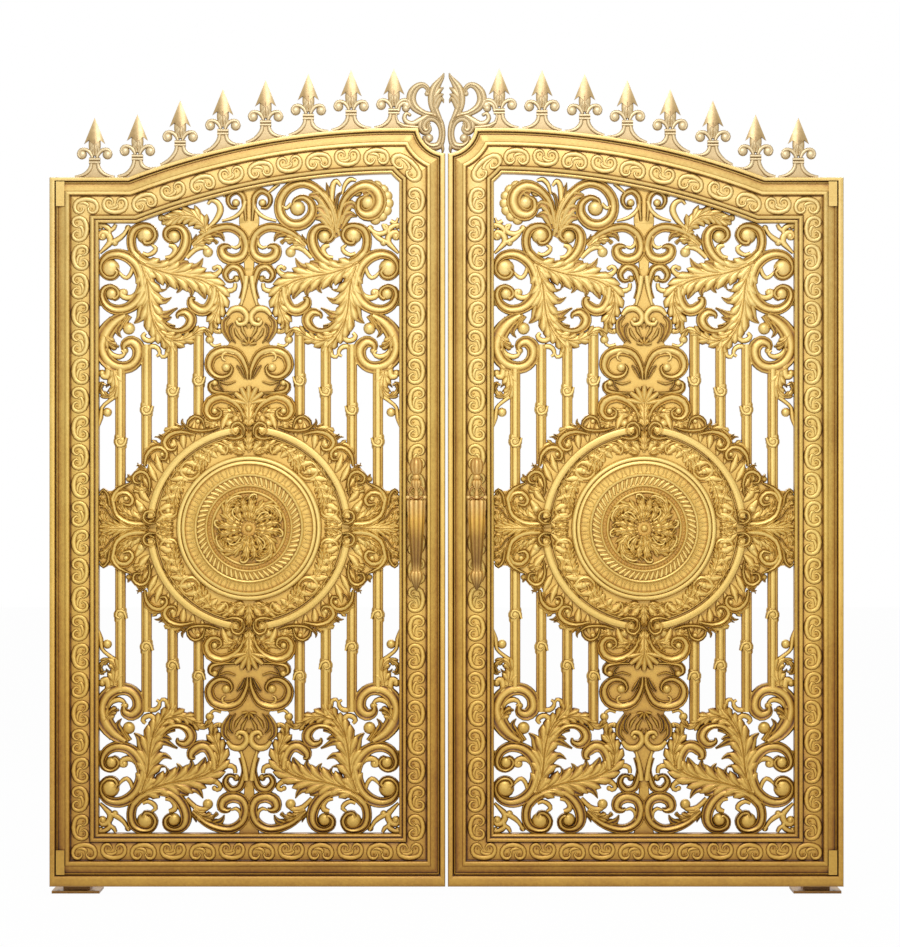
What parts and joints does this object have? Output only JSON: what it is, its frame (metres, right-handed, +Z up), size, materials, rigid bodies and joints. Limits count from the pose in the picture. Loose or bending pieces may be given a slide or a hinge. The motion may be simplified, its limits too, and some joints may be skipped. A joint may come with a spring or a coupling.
{
  "type": "cast aluminium double gate",
  "caption": "Arched double-leaf driveway gate of cast aluminium scrollwork with round medallions, spear cresting and pull handles.",
  "frame": {"origin": "centre of the underside of the left post's foot plate, at ground level", "axes": "+X along the closed gate towards the right post, +Z up, -Y out of the front face"},
  "size_m": [2.98, 0.316, 3.1026],
  "materials": {
    "antique_gold": "satin gold paint with brown glaze in the recesses",
    "pale_gold": "satin pale gold paint",
    "antique_bronze": "brushed antique bronze",
    "painted_steel": "satin gold paint on steel",
    "bare_steel": "greased steel"
  },
  "bodies": {
    "posts": {"left_post": "painted_steel", "left_post_cap": "painted_steel", "left_foot_plate": "painted_steel", "left_hinge_pins": "bare_steel", "right_post": "painted_steel", "right_post_cap": "painted_steel", "right_foot_plate": "painted_steel", "right_hinge_pins": "bare_steel"},
    "left_leaf": {"left_hinge_stile": "antique_gold", "left_meeting_stile": "antique_gold", "left_top_rail": "antique_gold", "left_bottom_rail": "antique_gold", "left_upper_scrollwork": "antique_gold", "left_lower_scrollwork": "antique_gold", "left_upper_column": "antique_gold", "left_lower_column": "antique_gold", "left_upper_bars": "antique_gold", "left_lower_bars": "antique_gold", "left_medallion_plate": "antique_gold", "left_plate_ring": "antique_gold", "left_medallion": "antique_gold", "left_rosette": "antique_gold", "left_spears": "pale_gold", "left_corner_crest": "pale_gold", "left_handle": "antique_bronze", "left_hinge_covers": "antique_gold", "left_hinge_eyes": "painted_steel"},
    "right_leaf": {"right_hinge_stile": "antique_gold", "right_meeting_stile": "antique_gold", "right_top_rail": "antique_gold", "right_bottom_rail": "antique_gold", "right_upper_scrollwork": "antique_gold", "right_lower_scrollwork": "antique_gold", "right_upper_column": "antique_gold", "right_lower_column": "antique_gold", "right_upper_bars": "antique_gold", "right_lower_bars": "antique_gold", "right_medallion_plate": "antique_gold", "right_plate_ring": "antique_gold", "right_medallion": "antique_gold", "right_rosette": "antique_gold", "right_spears": "pale_gold", "right_corner_crest": "pale_gold", "right_handle": "antique_bronze", "right_hinge_covers": "antique_gold", "right_hinge_eyes": "painted_steel"}
  },
  "joints": [
    {"name": "left_leaf_hinge", "type": "hinge", "parent": "posts", "child": "left_leaf", "pos_m": [-0.069, -0.04, 1], "axis": [0, 0, -1], "range_deg": [0, 90]},
    {"name": "right_leaf_hinge", "type": "hinge", "parent": "posts", "child": "right_leaf", "pos_m": [2.861, -0.04, 1], "axis": [0, 0, 1], "range_deg": [0, 90]}
  ]
}
